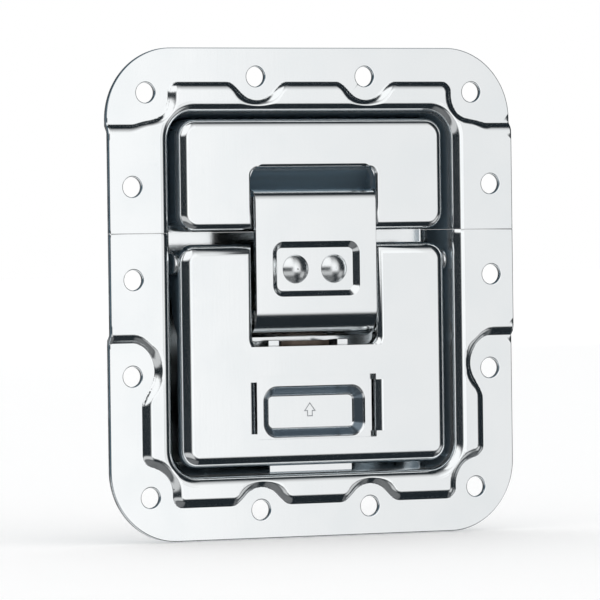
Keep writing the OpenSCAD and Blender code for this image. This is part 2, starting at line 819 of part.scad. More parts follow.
// Leaf spring that lifts the lever as it is let go
module kick_spring() {
    low = floor_z + stop_t;
    heel = stop_foot + leaf_t;
    tip = [stop_top - clear, stop_front - leaf_drop];
    bend = [stop_foot + leaf_flat, low];
    lead = tip - leaf_lead;
    color(spring_brown) stand() difference() {
        along_x(-leaf_half, leaf_half)
            polygon([[heel, low], bend, lead - [0, leaf_t], tip - [0, leaf_t], tip, lead,
                     bend + [-clear, leaf_t], [heel, low + leaf_t]]);
        both_sides() translate([stop_rivet_x, stop_rivet_y, floor_back])
            cylinder(r = tail_r, h = dish_depth);
    }
}

module stop_rivets() {
    color(bright_zinc) stand() both_sides()
        translate([stop_rivet_x, stop_rivet_y, floor_z + stop_t + leaf_t])
            domed_rivet(floor_rivet_d, stop_rivet_h, stop_t + leaf_t + sheet_t, 2 * tail_r, flush_tail);
}

lower_dish();
upper_dish();
lever();
hook_plate();
hook_strap();
hook_rivets();
hook_pin();
release_slide();
slide_retainer();
slide_spring();
pivot_bracket_left();
pivot_bracket_right();
pivot_pins();
bracket_rivets();
stop_bracket();
kick_spring();
stop_rivets();
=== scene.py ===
"""Recessed case latch: a pressed dish in two halves with a lever, a draw hook and a sliding release."""

import logging
import math
from dataclasses import dataclass, field
from enum import Enum
from typing import Any, Sequence, Union

import bmesh
import bpy
import numpy as np
from mathutils import Matrix, Vector
from mathutils.geometry import delaunay_2d_cdt


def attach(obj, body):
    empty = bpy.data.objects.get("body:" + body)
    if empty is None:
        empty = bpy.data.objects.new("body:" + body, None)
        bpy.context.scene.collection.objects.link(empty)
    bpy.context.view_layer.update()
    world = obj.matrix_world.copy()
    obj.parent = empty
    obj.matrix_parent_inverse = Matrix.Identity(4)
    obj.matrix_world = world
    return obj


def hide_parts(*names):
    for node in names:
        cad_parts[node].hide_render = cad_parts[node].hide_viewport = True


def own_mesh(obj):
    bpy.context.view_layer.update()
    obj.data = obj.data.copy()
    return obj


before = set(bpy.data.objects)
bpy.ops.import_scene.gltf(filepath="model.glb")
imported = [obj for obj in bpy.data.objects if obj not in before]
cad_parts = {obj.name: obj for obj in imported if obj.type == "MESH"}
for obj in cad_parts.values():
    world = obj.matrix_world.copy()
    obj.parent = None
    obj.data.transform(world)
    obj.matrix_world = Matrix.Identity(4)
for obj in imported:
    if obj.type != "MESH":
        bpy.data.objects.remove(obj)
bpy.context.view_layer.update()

MM = 0.001
LOG = logging.getLogger("case_latch")

Points = np.ndarray
Colour = tuple[float, float, float]
Operand = Union["Signal", float]


class Work(Enum):
    """Ways of joining one solid to another."""

    JOIN = "UNION"
    CUT = "DIFFERENCE"
    MEET = "INTERSECT"


class Slot(Enum):
    """Material slots that the record names."""

    ZINC = "zinc_sheet"
    FITTING = "bright_fittings"
    SPRING = "spring_steel"


def to_row(points: Points) -> Points:
    """Turns points of the panel frame into the row frame.

    Args:
        points: Rows of x to the right, y up the panel and z out of it, in millimetres.

    Returns:
        The same points in the row frame, in metres.
    """
    return np.stack([points[:, 0], -points[:, 2], points[:, 1]], axis=1) * MM


def arc(centre: tuple[float, float], radius: float, start: float, end: float, steps: int = 10) -> Points:
    """Points along an arc.

    Args:
        centre: Centre of the arc.
        radius: Radius of the arc.
        start: First angle in degrees.
        end: Last angle in degrees.
        steps: Number of chords.

    Returns:
        One row for each point.
    """
    turn = np.radians(np.linspace(start, end, steps + 1))
    return np.stack([centre[0] + radius * np.cos(turn), centre[1] + radius * np.sin(turn)], axis=1)


def add_object(name: str, data: bpy.types.ID) -> bpy.types.Object:
    """Puts a new object in the scene.

    Args:
        name: Name of the object.
        data: Its mesh or camera.

    Returns:
        The object.
    """
    made = bpy.data.objects.new(name, data)
    bpy.context.scene.collection.objects.link(made)
    return made


class Signal:
    """One node socket that carries a number, with arithmetic on it."""

    def __init__(self, graph: "Graph", socket: bpy.types.NodeSocket) -> None:
        """Keeps the socket and the graph that it belongs to."""
        self.graph = graph
        self.socket = socket

    def _math(self, operation: str, left: Operand, right: Operand) -> "Signal":
        """One Math node."""
        return self.graph.node("ShaderNodeMath", {"operation": operation}, {0: left, 1: right})

    def __add__(self, other: Operand) -> "Signal":
        """Sum."""
        return self._math("ADD", self, other)

    def __radd__(self, other: float) -> "Signal":
        """Sum with a number first."""
        return self._math("ADD", other, self)

    def __sub__(self, other: Operand) -> "Signal":
        """Difference."""
        return self._math("SUBTRACT", self, other)

    def __rsub__(self, other: float) -> "Signal":
        """Difference from a number."""
        return self._math("SUBTRACT", other, self)

    def __mul__(self, other: Operand) -> "Signal":
        """Product."""
        return self._math("MULTIPLY", self, other)

    def __rmul__(self, other: float) -> "Signal":
        """Product with a number first."""
        return self._math("MULTIPLY", other, self)

    def __or__(self, other: Operand) -> "Signal":
        """The larger of two."""
        return self._math("MAXIMUM", self, other)

    def rise(self, low: float, high: float) -> "Signal":
        """Smooth rise from 0 to 1.

        Args:
            low: Value where the rise starts.
            high: Value where it ends.

        Returns:
            The eased signal.
        """
        limits = {0: self, 1: low, 2: high, 3: 0.0, 4: 1.0}
        return self.graph.node("ShaderNodeMapRange", {"interpolation_type": "SMOOTHSTEP"}, limits)


class Graph:
    """A node tree that is filled one node at a time."""

    def __init__(self, tree: bpy.types.NodeTree) -> None:
        """Empties the tree."""
        tree.nodes.clear()
        self.tree = tree

    def node(self, kind: str, settings: dict[str, Any], inputs: dict[Any, Any], output: Any = 0) -> Signal:
        """Adds a node.

        Args:
            kind: Node type.
            settings: Attributes, set before the inputs.
            inputs: Values or signals for its sockets, by index or name.
            output: Index or name of the socket to hand back.

        Returns:
            The chosen output.
        """
        made = self.tree.nodes.new(kind)
        for key, value in settings.items():
            setattr(made, key, value)
        for key, value in inputs.items():
            if isinstance(value, Signal):
                self.tree.links.new(value.socket, made.inputs[key])
            else:
                made.inputs[key].default_value = value
        return Signal(self, made.outputs[output]) if len(made.outputs) else Signal(self, made.inputs[0])

    def noise(
        self, place: Signal, scale: float, detail: float = 2.0, stretch: Colour = (1.0, 1.0, 1.0)
    ) -> Signal:
        """Noise from 0 to 1.

        Args:
            place: Coordinates in metres.
            scale: Features for each metre.
            detail: Number of finer layers.
            stretch: Factor on each coordinate.

        Returns:
            The noise value.
        """
        put = self.node("ShaderNodeVectorMath", {"operation": "MULTIPLY"}, {0: place, 1: stretch})
        return self.node("ShaderNodeTexNoise", {}, {"Vector": put, "Scale": scale, "Detail": detail}, "Fac")

    def mix(self, factor: Operand, first: Any, second: Any) -> Signal:
        """Colour between two.

        Args:
            factor: Share of the second colour.
            first: Colour at nought.
            second: Colour at one.

        Returns:
            The mixed colour.
        """
        return self.node("ShaderNodeMix", {"data_type": "RGBA"}, {0: factor, 6: first, 7: second}, 2)

    def bump(self, height: Signal, distance: float) -> Signal:
        """Fine relief of a surface.

        Args:
            height: Relief from 0 to 1.
            distance: Height of the relief in metres.

        Returns:
            The normal.
        """
        return self.node("ShaderNodeBump", {}, {"Strength": 1.0, "Distance": distance, "Height": height})

    def surface(self, kind: str, inputs: dict[Any, Any]) -> None:
        """Adds the shader and the output that shows it.

        Args:
            kind: Node type of the shader.
            inputs: Values or signals for its sockets.
        """
        self.node("ShaderNodeOutputMaterial", {}, {"Surface": self.node(kind, {}, inputs)})


def new_finish(name: str) -> tuple[bpy.types.Material, Graph, Signal]:
    """Starts a material.

    Args:
        name: Name of the material.

    Returns:
        The material, its empty node tree, and the place on the piece in metres.
    """
    made = bpy.data.materials.new(name)
    made.use_nodes = True
    graph = Graph(made.node_tree)
    return made, graph, graph.node("ShaderNodeTexCoord", {}, {}, "Object")


@dataclass(frozen=True)
class PlatedSheet:
    """Bright zinc plating on pressed sheet, a little uneven as rolled sheet is, with painted shade down
    inside a drawn recess: a dark blue-grey tone and less metal there.
    """

    name: str = "bright_zinc_plating"
    tint: Colour = (0.955, 0.978, 0.988)
    cloud: Colour = (0.905, 0.94, 0.955)
    roughness: float = 0.11
    spread: float = 0.04
    grain: float = 3.0e-6
    wave: float = 3.0e-5
    # Painted shade inside a recess: its dark blue-grey tone, the drop in metal, its share, and the depth and
    # mouth of the recess that it fills.
    painted_shade_tint: Colour = (0.17, 0.25, 0.31)
    dull: float = 0.4
    recess: float = 0.0
    sunk: tuple[float, float] = (-0.0013, 0.0012)
    back: tuple[float, float] = (0.007, 0.0082)
    mouth: tuple[float, float] = (0.0369, 0.0421)
    middle: float = 0.0
    soft: float = 0.0002

    def painted_recess_shade(self, graph: Graph, place: Signal) -> Signal:
        """Share of painted shade, down inside a drawn recess.

        Args:
            graph: Node tree of the finish.
            place: Coordinates in metres.

        Returns:
            Nought on the faces, rising to the share of painted shade.
        """
        part = {axis: graph.node("ShaderNodeSeparateXYZ", {}, {0: place}, axis) for axis in "XYZ"}
        inside = part["Y"].rise(*self.sunk) * (1 - part["Y"].rise(*self.back))
        for off, half in zip((part["X"], part["Z"] - self.middle), self.mouth):
            size = graph.node("ShaderNodeMath", {"operation": "ABSOLUTE"}, {0: off})
            inside = inside * (1 - size.rise(half - self.soft, half + self.soft))
        return inside * self.recess

    def material(self) -> bpy.types.Material:
        """Builds the plating.

        Returns:
            The material.
        """
        made, graph, place = new_finish(self.name)
        clouds = graph.noise(place, 90.0, 3.0).rise(0.3, 0.75)
        grain = graph.noise(place, 2600.0, 3.0)
        drawn = graph.noise(place, 1500.0, 2.0, (1.0, 1.0, 0.06))
        specks = graph.noise(place, 700.0, 2.0).rise(0.66, 0.78)
        waves = graph.noise(place, 28.0, 1.0)
        colour = graph.mix(clouds * 0.6 + specks * 0.3, (*self.tint, 1.0), (*self.cloud, 1.0))
        metal: Operand = 1.0
        # Painted shade: inside the recess the colour turns dark blue-grey and the metal share drops.
        if self.recess:
            sunk = self.painted_recess_shade(graph, place)
            colour = graph.mix(sunk, colour, (*self.painted_shade_tint, 1.0))
            metal = 1 - sunk * self.dull
        rough = self.roughness + self.spread * (clouds * 0.5 + grain * 0.6 + specks * 0.4)
        share = self.grain / self.wave
        height = waves + (grain * 0.7 + drawn * 0.5) * share
        bump = graph.bump(height, self.wave)
        sockets = {"Base Color": colour, "Roughness": rough, "Metallic": metal, "Normal": bump}
        graph.surface("ShaderNodeBsdfPrincipled", sockets)
        return made


@dataclass(frozen=True)
class CutEdge:
    """Sheared sheet edge, worn, and painted dark as a shade line along the edge."""

    name: str = "worn_cut_edge_with_painted_shade_line"
    tint: Colour = (0.36, 0.37, 0.38)
    worn_and_shaded: Colour = (0.17, 0.172, 0.175)
    roughness: float = 0.3
    spread: float = 0.15
    grit: float = 5.0e-6

    def material(self) -> bpy.types.Material:
        """Builds the worn edge.

        Returns:
            The material.
        """
        made, graph, place = new_finish(self.name)
        rubbed = graph.noise(place, 380.0, 4.0).rise(0.35, 0.65)
        grit = graph.noise(place, 4200.0, 3.0)
        # Dark edge tone: partly wear of the sheared edge, partly painted shade that draws a dark line along
        # each edge.
        colour = graph.mix(rubbed, (*self.tint, 1.0), (*self.worn_and_shaded, 1.0))
        bump = graph.bump(grit, self.grit)
        rough = self.roughness + self.spread * grit
        sockets = {"Base Color": colour, "Roughness": rough, "Metallic": 1.0, "Normal": bump}
        graph.surface("ShaderNodeBsdfPrincipled", sockets)
        return made


@dataclass(frozen=True)
class SpringSteel:
    """Oiled spring steel with a brown temper colour."""

    name: str = "brown_spring_steel"
    tint: Colour = (0.20, 0.155, 0.125)
    dark: Colour = (0.07, 0.058, 0.05)
    roughness: float = 0.34
    spread: float = 0.2
    metallic: float = 0.85
    scale: float = 6.0e-6

    def material(self) -> bpy.types.Material:
        """Builds the tempered steel.

        Returns:
            The material.
        """
        made, graph, place = new_finish(self.name)
        clouds = graph.noise(place, 260.0, 4.0).rise(0.3, 0.7)
        scale = graph.noise(place, 2200.0, 3.0)
        colour = graph.mix(clouds * 0.8, (*self.tint, 1.0), (*self.dark, 1.0))
        bump = graph.bump(scale, self.scale)
        rough = self.roughness + self.spread * scale
        sockets = {"Base Color": colour, "Roughness": rough, "Metallic": self.metallic, "Normal": bump}
        graph.surface("ShaderNodeBsdfPrincipled", sockets)
        return made


@dataclass(frozen=True)
class StampedLine:
    """Grey line of a shallow stamp, where the plating is dull."""

    name: str = "dull_stamped_line"
    tint: Colour = (0.42, 0.44, 0.46)
    rubbed: Colour = (0.55, 0.57, 0.59)
    roughness: float = 0.4
    spread: float = 0.2
    metallic: float = 0.6

    def material(self) -> bpy.types.Material:
        """Builds the dull line.

        Returns:
            The material.
        """
        made, graph, place = new_finish(self.name)
        grit = graph.noise(place, 5000.0, 3.0)
        colour = graph.mix(grit, (*self.tint, 1.0), (*self.rubbed, 1.0))
        rough = self.roughness + self.spread * grit
        sockets = {"Base Color": colour, "Roughness": rough, "Metallic": self.metallic}
        graph.surface("ShaderNodeBsdfPrincipled", sockets)
        return made


@dataclass(frozen=True)
class RoundRect:
    """A rectangle with rounded corners, in millimetres."""

    half_x: float
    half_y: float
    corner: float
    centre_y: float = 0.0

    def grown(self, by: float) -> "RoundRect":
        """The same rectangle with each side moved outward."""
        return RoundRect(self.half_x + by, self.half_y + by, max(self.corner + by, 0.05), self.centre_y)

    def depth(self, at: Points) -> Points:
        """Depth of points inside the outline.

        Args:
            at: Rows of x and y.

        Returns:
            Distance to the outline, negative outside.
        """
        reach = np.abs(at - [0.0, self.centre_y]) - [self.half_x - self.corner, self.half_y - self.corner]
        past = np.hypot(np.maximum(reach[:, 0], 0), np.maximum(reach[:, 1], 0))
        return self.corner - past - np.minimum(reach.max(axis=1), 0)

    def loop(self, along_x: int, along_y: int, bend: int) -> Points:
        """Points once round the outline, anticlockwise.

        Args:
            along_x: Chords on each side that runs along x.
            along_y: Chords on each side that runs along y.
            bend: Chords in each corner.

        Returns:
            Rows of x and y.
        """
        x, y = self.half_x - self.corner, self.half_y - self.corner
        bends = [
            arc((sx * x, sy * y), self.corner, turn, turn + 90, bend)
            for sx, sy, turn in ((1, 1, 0), (-1, 1, 90), (-1, -1, 180), (1, -1, 270))
        ]
        parts = []
        for index, part in enumerate(bends):
            share = np.linspace(0, 1, (along_y if index % 2 else along_x) + 1)[1:-1, None]
            parts += [part, part[-1] * (1 - share) + bends[(index + 1) % 4][0] * share]
        return np.concatenate(parts) + [0.0, self.centre_y]


class Surface:
    """Points and faces of a surface in the panel frame, in millimetres."""

    def __init__(self) -> None:
        """Starts empty."""
        self.points: list[Points] = []
        self.faces: list[tuple[int, ...]] = []

    def add(self, points: Points, faces: Sequence[Sequence[int]]) -> None:
        """Adds a patch.

        Args:
            points: Rows of x, y and z.
            faces: Point numbers within this patch.
        """
        start = sum(len(part) for part in self.points)
        self.points.append(points)
        self.faces += [tuple(int(start + i) for i in face) for face in faces]

    def loft(self, rings: Sequence[Points], first: bool = False, last: bool = False) -> None:
        """Adds a skin through rings of equal count.

        Args:
            rings: Closed rings, each anticlockwise, from the outside inward.
            first: Whether the first ring is filled.
            last: Whether the last ring is filled.
        """
        count = len(rings[0])
        faces: list[tuple[int, ...]] = []
        for ring in range(len(rings) - 1):
            a, b = ring * count, (ring + 1) * count
            faces += [(a + i, a + (i + 1) % count, b + (i + 1) % count, b + i) for i in range(count)]
        if first:
            faces.append(tuple(range(count - 1, -1, -1)))
        if last:
            faces.append(tuple(range((len(rings) - 1) * count, len(rings) * count)))
        self.add(np.concatenate(rings), faces)

    def piece(self, name: str, outward: bool = False) -> bpy.types.Object:
        """Makes a mesh object.

        Args:
            name: Name of the object.
            outward: Whether faces of a closed solid are turned outward.

        Returns:
            The object, in the row frame.
        """
        mesh = bpy.data.meshes.new(name)
        mesh.from_pydata(to_row(np.concatenate(self.points)).tolist(), [], self.faces)
        grid = bmesh.new()
        grid.from_mesh(mesh)
        bmesh.ops.remove_doubles(grid, verts=grid.verts, dist=2.0e-7)
        if outward:
            bmesh.ops.recalc_face_normals(grid, faces=grid.faces)
        grid.to_mesh(mesh)
        grid.free()
        return add_object(name, mesh)


def settle(piece: bpy.types.Object) -> None:
    """Replaces a piece's mesh by the one its modifiers give.

    Args:
        piece: The object, whose modifiers are used up.
    """
    bpy.context.view_layer.update()
    graph = bpy.context.evaluated_depsgraph_get()
    worked = piece.evaluated_get(graph)
    mesh = bpy.data.meshes.new_from_object(worked, preserve_all_data_layers=True, depsgraph=graph)
    old = piece.data
    piece.modifiers.clear()
    piece.data = mesh
    bpy.data.meshes.remove(old)


def combine(piece: bpy.types.Object, tool: bpy.types.Object, work: Work) -> bpy.types.Object:
    """Works one solid with another, which is used up.

    Args:
        piece: Solid that stays.
        tool: Solid that goes.
        work: What is done.

    Returns:
        The solid that stays.
    """
    step = piece.modifiers.new("work", "BOOLEAN")
    step.operation = work.value
    step.solver = "EXACT"
    step.object = tool
    settle(piece)
    mesh = tool.data
    bpy.data.objects.remove(tool)
    bpy.data.meshes.remove(mesh)
    return piece


def block(name: str, outline: RoundRect, edge: Points) -> bpy.types.Object:
    """A block with rounded plan corners and a shaped edge.

    Args:
        name: Name of the object.
        outline: Plan at nought outset.
        edge: Rows of outset and z, from the bottom up.

    Returns:
        The closed solid.
    """
    skin = Surface()
    rings = []
    for outset, z in edge:
        plan = outline.grown(float(outset)).loop(2, 2, 10)
        rings.append(np.column_stack([plan, np.full(len(plan), z)]))
    skin.loft(rings, first=True, last=True)
    return skin.piece(name, outward=True)


def prism(name: str, outline: Points, half: float) -> bpy.types.Object:
    """A prism along x.

    Args:
        name: Name of the object.
        outline: Rows of y and z.
        half: Half its length.

    Returns:
        The closed solid.
    """
    skin = Surface()
    ends = [np.column_stack([np.full(len(outline), x), outline]) for x in (-half, half)]
    skin.loft(ends, first=True, last=True)
    return skin.piece(name, outward=True)


def flatten(mesh: bpy.types.Mesh, within: float = 2.0, turned: float = 40.0) -> None:
    """Shades the faces that lie level as truly flat, up to their edges.

    Args:
        mesh: Mesh in the row frame, changed in place.
        within: Largest tilt of a level face in degrees.
        turned: Tilt in degrees past which a face next to it keeps its own shading.
    """
    corners = np.empty(len(mesh.loops) * 3)
    mesh.corner_normals.foreach_get("vector", corners)
    corners = corners.reshape(-1, 3)
    count = np.empty(len(mesh.polygons), dtype=np.int32)
    mesh.polygons.foreach_get("loop_total", count)
    facing = np.empty(len(mesh.polygons) * 3)
    mesh.polygon_normals.foreach_get("vector", facing)
    facing = np.repeat(facing.reshape(-1, 3)[:, 1], count)
    point = np.empty(len(mesh.loops), dtype=np.int32)
    mesh.loops.foreach_get("vertex_index", point)
    level = np.abs(facing) > math.cos(math.radians(within))
    side = np.zeros(len(mesh.vertices))
    side[point[level]] = np.sign(facing[level])
    near = facing * side[point] > math.cos(math.radians(turned))
    corners[near] = np.column_stack([0 * side, side, 0 * side])[point[near]]
    mesh.normals_split_custom_set(corners.tolist())


def shade(piece: bpy.types.Object, angle: float, level: bool = True, weight: int = 100) -> None:
    """Smooths a piece up to an angle between faces.

    Args:
        piece: The object.
        angle: Largest smoothed angle in degrees.
        level: Whether large faces stay level up to their edges.
        weight: How far the largest face decides, 50 being by area alone.
    """
    piece.data.polygons.foreach_set("use_smooth", [True] * len(piece.data.polygons))
    piece.data.set_sharp_from_angle(angle=math.radians(angle))
    if not level:
        return
    step = piece.modifiers.new("flat faces", "WEIGHTED_NORMAL")
    step.mode = "FACE_AREA"
    step.weight = weight
    step.keep_sharp = True
    settle(piece)
    flatten(piece.data)


def fit(
    made: bpy.types.Object,
    finish: bpy.types.Material,
    edge: bpy.types.Material,
    body: str,
    node: str,
) -> None:
    """Gives a piece its finish, its body and the node that it shows.

    Args:
        made: The piece.
        finish: Material of its faces.
        edge: Material of its cut edges.
        body: Body that it moves with.
        node: Node that it replaces.
    """
    made.data.materials[0] = finish
    made.data.materials[1] = edge
    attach(made, body)
    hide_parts(node)


@dataclass
class PressedPlate:
    """The plate before it is parted: flange, stepped rim, and dish."""

    plate: RoundRect = RoundRect(51.5, 56.0, 16.4)
    dish: RoundRect = RoundRect(36.0, 41.2, 6.0)
    sheet: float = 1.2
    low: float = 1.2
    step: float = 1.2
    crease: float = 0.5
    brow: float = 2.4
    lead: float = 0.1
    rim_x: float = 43.6
    rim_y: float = 48.3
    band_y: float = 14.0
    band: float = 24.7
    shoulder: float = 2.6
    scallop: float = 5.3
    end_hole: tuple[float, float] = (13.9, 49.4)
    corner_pad: tuple[float, float] = (42.6, 45.1)
    side_pad: tuple[float, float] = (46.8, -17.1)
    pad: float = 6.4
    corner_hole: tuple[float, float] = (41.6, 45.8)
    side_x: float = 45.7
    side_holes: tuple[float, ...] = (24.5, 3.5, -18.3)
    hole: float = 2.3
    brim: float = 2.6
    ease: float = 0.12
    lip: float = 0.34
    foot: float = 1.2
    floor: float = -8.8
    draft: float = 15.0
    guard: float = 0.15
    seam_lip: float = 0.16
    seam_fall: float = 0.1
    hollow: float = 2.5
    pitch: float = 0.42
    nudge: float = 0.01
    stray: float = 0.03
    outline_chords: tuple[int, int, int] = (180, 180, 60)
    ring_chords: tuple[int, int, int] = (150, 60, 18)
    hole_chords: int = 48

    def depth(self, at: Points) -> Points:
        """Distance of points inside the foot of the raised rim.

        Args:
            at: Rows of x and y.

        Returns:
            Distance to the foot, negative on the low flange.
        """
        x, y = np.abs(at[:, 0]), np.abs(at[:, 1])
        rim = np.minimum(self.rim_x - x, self.rim_y - y)
        ends = np.hypot(x - self.end_hole[0], y - self.end_hole[1]) - self.scallop
        side = np.hypot(x - self.side_pad[0], at[:, 1] - self.side_pad[1]) - self.pad
        qx, qy = self.corner_pad[0] - x, self.corner_pad[1] - y
        past = np.hypot(np.maximum(qx, 0), np.maximum(qy, 0))
        corner = past + np.minimum(np.maximum(qx, qy), 0) - self.pad
        clear = np.minimum(np.minimum(ends, side), corner)
        r = self.shoulder
        round_out = np.hypot(np.maximum(r - rim, 0), np.maximum(r - clear, 0))
        cut = np.maximum(r, np.minimum(rim, clear)) - round_out
        band = self.band - np.abs(at[:, 1] - self.band_y)
        r = self.hollow
        round_in = np.hypot(np.maximum(r + cut, 0), np.maximum(r + band, 0))
        return np.minimum(-r, np.maximum(cut, band)) + round_in

    def height(self, at: Points) -> Points:
        """Front of the flange and rim.

        Args:
            at: Rows of x and y.

        Returns:
            z of each point.
        """
        run, turn = self.slope()
        way = np.clip(self.depth(at) + self.lead, 0, run)
        foot = self.crease - np.sqrt(np.maximum(self.crease**2 - way**2, 0))
        top = self.step - self.brow + np.sqrt(self.brow**2 - (run - way) ** 2)
        return self.low + np.where(way < self.crease * math.sin(turn), foot, top)

    def slope(self) -> tuple[float, float]:
        """Width of the step, and its steepest slope in radians."""
        turn = math.acos(1 - self.step / (self.crease + self.brow))
        return (self.crease + self.brow) * math.sin(turn), turn

    def front(self, at: Points, z: float) -> Points:
        """The lower of the rim and a given height, with the edge between them eased.

        Args:
            at: Rows of x and y.
            z: Height of the dish's side here.

        Returns:
            z of each point.
        """
        rim = self.height(at)
        share = np.clip(0.5 + (rim - z) / (2 * self.ease), 0, 1)
        return rim + (z - rim) * share - self.ease * share * (1 - share)

    def holes(self) -> list[tuple[float, float]]:
        """Centres of the fourteen mounting holes.

        Returns:
            x and y of each.
        """
        sides = [(self.side_x, y) for y in self.side_holes]
        ends = [(x, s * y) for x, y in (self.corner_hole, self.end_hole) for s in (1, -1)]
        return [(s * x, y) for x, y in sides + ends for s in (1, -1)]

    def slope_points(self) -> Points:
        """Points along level lines of the step.

        Returns:
            Rows of x and y.
        """
        xs = np.arange(-self.plate.half_x, self.plate.half_x, self.pitch)
        ys = np.arange(-self.plate.half_y, self.plate.half_y, self.pitch)
        grid = np.stack(np.meshgrid(xs, ys), axis=-1).reshape(-1, 2)
        start = self.depth(grid)
        run, turn = self.slope()
        bend = self.crease * math.sin(turn)
        levels = np.concatenate([np.linspace(0, bend, 5), np.linspace(bend, run, 11)[1:]]) - self.lead
        ways = np.eye(2) * self.nudge
        found = []
        for level in [levels[0] - self.guard, *levels, levels[-1] + self.guard]:
            at = grid[np.abs(start - level) < self.pitch]
            for _ in range(3):
                rise = [self.depth(at + way) - self.depth(at - way) for way in ways]
                slope = np.stack(rise, axis=1) / (2 * self.nudge)
                steep = np.maximum((slope**2).sum(1), 0.2)[:, None]
                at = at - (self.depth(at) - level)[:, None] * slope / steep
            at = at[np.abs(self.depth(at) - level) < self.stray]
            found.append(at[np.unique(np.floor(at / self.pitch), axis=0, return_index=True)[1]])
        at = np.concatenate(found)
        mouth = self.dish.grown(self.brim + self.guard)
        room = np.minimum(self.plate.depth(at) - self.lip, -mouth.depth(at))
        for x, y in self.holes():
            room = np.minimum(room, np.hypot(at[:, 0] - x, at[:, 1] - y) - self.hole - self.lip)
        return at[room > self.guard]

    def flange(self, skin: Surface) -> None:
        """Adds the flange with its step and holes.

        Args:
            skin: Surface that takes it.
        """
        mouth = self.dish.grown(self.brim + self.guard)
        loops = [mouth.loop(*self.ring_chords)]
        for share in (0.0, 0.3, 1.0):
            loops.append(self.plate.grown(-self.lip * share).loop(*self.outline_chords))
            wide = self.hole + self.lip * share
            loops += [arc(at, wide, 0, 360, self.hole_chords)[:-1] for at in self.holes()]
        edges, start = [], 0
        for loop in loops:
            edges += [(start + i, start + (i + 1) % len(loop)) for i in range(len(loop))]
            start += len(loop)
        flat = np.concatenate([*loops, self.slope_points()])
        made = delaunay_2d_cdt([Vector(p) for p in flat.tolist()], edges, [], 0, 1.0e-5, False)
        at = np.array([tuple(p) for p in made[0]])
        faces = np.array([tuple(face) for face in made[2]])
        middle = at[faces].mean(axis=1)
        keep = (self.plate.depth(middle) > 0) & (mouth.depth(middle) < 0)
        for x, y in self.holes():
            keep &= np.hypot(middle[:, 0] - x, middle[:, 1] - y) > self.hole * 0.995
        faces = faces[keep]
        a, b = at[faces[:, 1]] - at[faces[:, 0]], at[faces[:, 2]] - at[faces[:, 0]]
        turned = a[:, 0] * b[:, 1] - a[:, 1] * b[:, 0] < 0
        faces[turned] = faces[turned][:, ::-1]
        skin.add(np.column_stack([at, self.height(at)]), faces.tolist())

    def broken(self, at: Points) -> Points:
        """How far the broken edge of the sheet falls back at its outline and holes.

        Args:
            at: Rows of x and y.

        Returns:
            Fall of each point.
        """
        room = self.plate.depth(at)
        for x, y in self.holes():
            room = np.minimum(room, np.hypot(at[:, 0] - x, at[:, 1] - y) - self.hole)
        share = np.clip(1 - room / self.lip, 0, 1)
        return self.lip * (1 - np.sqrt(1 - np.minimum(share, 0.999) ** 2))

    def bowl(self, skin: Surface) -> None:
        """Adds the dish with its floor.

        Args:
            skin: Surface that takes it.
        """
        top = self.low + self.step
        lean = math.radians(self.draft)
        start = arc((self.brim, top - self.brim), self.brim, 90, 180 - self.draft, 14)
        fall = start[-1, 1] - self.floor - self.foot * (1 - math.sin(lean))
        inset = start[-1, 0] - fall * math.tan(lean) - self.foot * math.cos(lean)
        end = (start[-1, 0] - fall * math.tan(lean), start[-1, 1] - fall)
        wall = np.linspace(start[-1], end, 6)[1:-1]
        edge = np.concatenate([
            [[self.brim + self.guard, top]],
            start,
            wall,
            arc((inset, self.floor + self.foot), self.foot, -self.draft, -90, 8),
            [[inset - self.guard, self.floor]],
        ])
        rings = []
        for outset, z in edge:
            plan = self.dish.grown(float(outset)).loop(*self.ring_chords)
            rings.append(np.column_stack([plan, self.front(plan, float(z))]))
        rings[0][:, 2] = self.height(rings[0][:, :2])
        skin.loft(rings, last=True)

    def half(self, name: str, seam: float, upper: bool) -> bpy.types.Object:
        """One half of the parted plate, as sheet of full thickness.

        Args:
            name: Name of the object.
            seam: Height of its edge at the parting line.
            upper: Whether the upper half is kept.

        Returns:
            The closed solid.
        """
        skin = Surface()
        self.flange(skin)
        self.bowl(skin)
        made = skin.piece(name)
        grid = bmesh.new()
        grid.from_mesh(made.data)
        bmesh.ops.bisect_plane(
            grid,
            geom=[*grid.verts, *grid.edges, *grid.faces],
            plane_co=(0, 0, seam * MM),
            plane_no=(0, 0, -1 if upper else 1),
            clear_outer=True,
        )
        bmesh.ops.bisect_plane(
            grid,
            geom=[*grid.verts, *grid.edges, *grid.faces],
            plane_co=(0, 0, (seam + (self.seam_lip if upper else -self.seam_lip)) * MM),
            plane_no=(0, 0, 1),
        )
        grid.to_mesh(made.data)
        grid.free()
        for _ in range(2):
            made.data.materials.append(None)
        before = np.array([vertex.co for vertex in made.data.vertices])
        step = made.modifiers.new("sheet", "SOLIDIFY")
        step.thickness = self.sheet * MM
        step.offset = -1
        step.use_even_offset = True
        step.use_quality_normals = True
        # The sheet's cut rim takes the dark edge finish, which paints a shade line along it.
        step.material_offset_rim = 1
        settle(made)
        spots = np.array([vertex.co for vertex in made.data.vertices])
        first = 0 if np.allclose(spots[: len(before)], before, atol=1.0e-7) else len(before)
        front = spots[first : first + len(before)]
        at = front[:, [0, 2]] / MM
        parted = (np.abs(at[:, 1] - seam) < 1.0e-3) & (front[:, 1] < -0.5 * MM)
        front[:, 1] += (self.broken(at) + self.seam_fall * parted) * MM
        reach = np.array([self.plate.half_x, np.inf, self.plate.half_y]) * MM
        made.data.vertices.foreach_set("co", np.clip(spots, -reach, reach).ravel())
        return made


